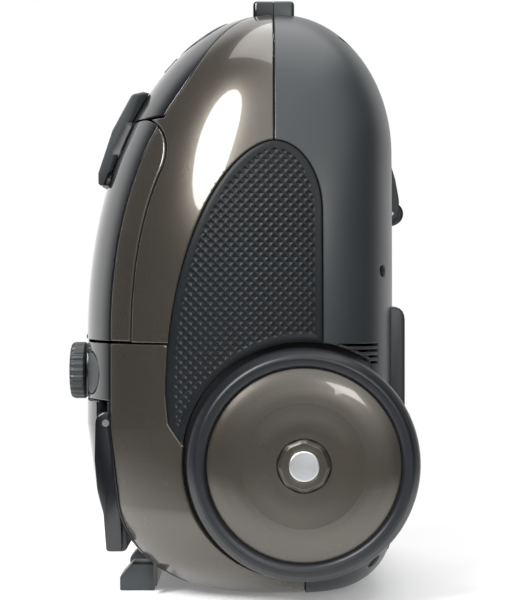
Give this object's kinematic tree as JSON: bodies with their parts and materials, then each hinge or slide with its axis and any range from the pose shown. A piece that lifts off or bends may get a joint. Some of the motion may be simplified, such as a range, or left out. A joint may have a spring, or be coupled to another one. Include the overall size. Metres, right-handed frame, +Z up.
{
  "type": "canister vacuum cleaner",
  "caption": "Canister vacuum cleaner parked on its rear end, with large side wheels, swivel caster, bag lid, suction knob and folding carry handle.",
  "frame": {"origin": "on the floor at the flat rear face it stands on, in the middle plane, under the parting line of the shells", "axes": "+Z up from the rear face to the nose, +X towards the underside with the caster, Y across the width"},
  "size_m": [0.2535, 0.28, 0.436],
  "materials": {
    "brown_gloss": "metallic brown, high gloss",
    "dark_satin": "dark grey, satin",
    "black_gloss": "near black, gloss",
    "panel_texture": "black, fine diamond weave",
    "tyre_rubber": "soft dark grey",
    "soft_rubber": "matt black",
    "inner_black": "black moulding",
    "board_green": "coated board",
    "bag_fabric": "non-woven fleece",
    "filter_foam": "filter fleece",
    "steel": "plain",
    "aluminium": "cast",
    "copper": "wound core"
  },
  "bodies": {
    "housing": {"base_shell": "dark_satin", "front_cover": "brown_gloss", "rear_cover": "brown_gloss", "nose_trim": "black_gloss", "side_panel_left": "panel_texture", "side_panel_right": "panel_texture", "control_panel": "black_gloss", "power_switch": "inner_black", "circuit_board": "board_green", "rear_trim": "black_gloss", "handle_pins": "steel", "rear_feet": "dark_satin", "lid_hinge_pin": "steel", "lid_seal": "soft_rubber", "bag_window": "black_gloss", "hose_inlet": "dark_satin", "inlet_seal": "soft_rubber", "bag_chamber": "inner_black", "bag_holder": "inner_black", "dust_bag": "bag_fabric", "motor_filter": "filter_foam", "motor_bulkhead": "inner_black", "motor_gasket": "soft_rubber", "fan_housing": "steel", "stator": "steel", "motor_bracket": "aluminium", "motor_bearings": "steel", "carbon_brushes": "inner_black", "motor_mount": "soft_rubber", "reel_bracket": "inner_black", "cord_outlet": "soft_rubber", "exhaust_filter": "filter_foam", "axle_left": "steel", "axle_right": "steel", "axle_washers": "steel", "shell_screws": "steel"},
    "lid": {"lid": "brown_gloss", "lid_trim": "black_gloss", "latch_pin": "steel"},
    "latch": {"latch_lever": "dark_satin"},
    "knob": {"suction_knob": "dark_satin"},
    "power_button": {"power_pedal": "dark_satin"},
    "rewind_button": {"rewind_pedal": "dark_satin"},
    "handle": {"carry_handle": "black_gloss", "handle_grip": "dark_satin"},
    "wheel_left": {"tyre_left": "tyre_rubber", "wheel_disc_left": "brown_gloss", "hub_cap_left": "brown_gloss"},
    "wheel_right": {"tyre_right": "tyre_rubber", "wheel_disc_right": "brown_gloss", "hub_cap_right": "brown_gloss"},
    "caster": {"caster_fork": "dark_satin", "caster_axle": "steel", "caster_clip": "steel"},
    "roller": {"caster_roller": "tyre_rubber"},
    "motor_rotor": {"rotor": "copper", "fan": "aluminium"},
    "reel": {"reel_drum": "inner_black", "reel_spring": "steel"}
  },
  "joints": [
    {"name": "lid_hinge", "type": "hinge", "parent": "housing", "child": "lid", "pos_m": [-0.1383, 0, 0.1842], "axis": [0, -1, 0], "range_deg": [0, 80]},
    {"name": "latch_pivot", "type": "hinge", "parent": "lid", "child": "latch", "pos_m": [-0.12871, 0, 0.3005], "axis": [0, -1, 0], "range_deg": [0, 20], "stiffness_Nm_per_rad": 0.6, "springref_deg": -17.19},
    {"name": "knob_turn", "type": "hinge", "parent": "housing", "child": "knob", "pos_m": [-0.141, 0, 0.158], "axis": [-1, 0, 0], "range_deg": [-135, 135]},
    {"name": "power_press", "type": "slide", "parent": "housing", "child": "power_button", "axis": [1, 0, 0], "range_m": [0, 0.004], "stiffness_N_per_m": 900, "springref_m": -0.004},
    {"name": "rewind_press", "type": "slide", "parent": "housing", "child": "rewind_button", "axis": [1, 0, 0], "range_m": [0, 0.004], "stiffness_N_per_m": 900, "springref_m": -0.004},
    {"name": "handle_pivot", "type": "hinge", "parent": "housing", "child": "handle", "pos_m": [-0.121, 0, 0.123], "axis": [0, 1, 0], "range_deg": [0, 100]},
    {"name": "wheel_left_spin", "type": "hinge", "parent": "housing", "child": "wheel_left", "pos_m": [0.02, -0.123, 0.099], "axis": [0, 1, 0], "continuous": true},
    {"name": "wheel_right_spin", "type": "hinge", "parent": "housing", "child": "wheel_right", "pos_m": [0.02, 0.123, 0.099], "axis": [0, 1, 0], "continuous": true},
    {"name": "caster_swivel", "type": "hinge", "parent": "housing", "child": "caster", "pos_m": [0.085, 0, 0.293], "axis": [1, 0, 0], "continuous": true},
    {"name": "roller_spin", "type": "hinge", "parent": "caster", "child": "roller", "pos_m": [0.0895, 0, 0.277], "axis": [0, 1, 0], "continuous": true},
    {"name": "motor_spin", "type": "hinge", "parent": "housing", "child": "motor_rotor", "pos_m": [-0.02, 0.024, 0.12], "axis": [0, 0, 1], "continuous": true},
    {"name": "reel_spin", "type": "hinge", "parent": "housing", "child": "reel", "pos_m": [0, -0.068, 0.099], "axis": [0, 1, 0], "continuous": true}
  ]
}
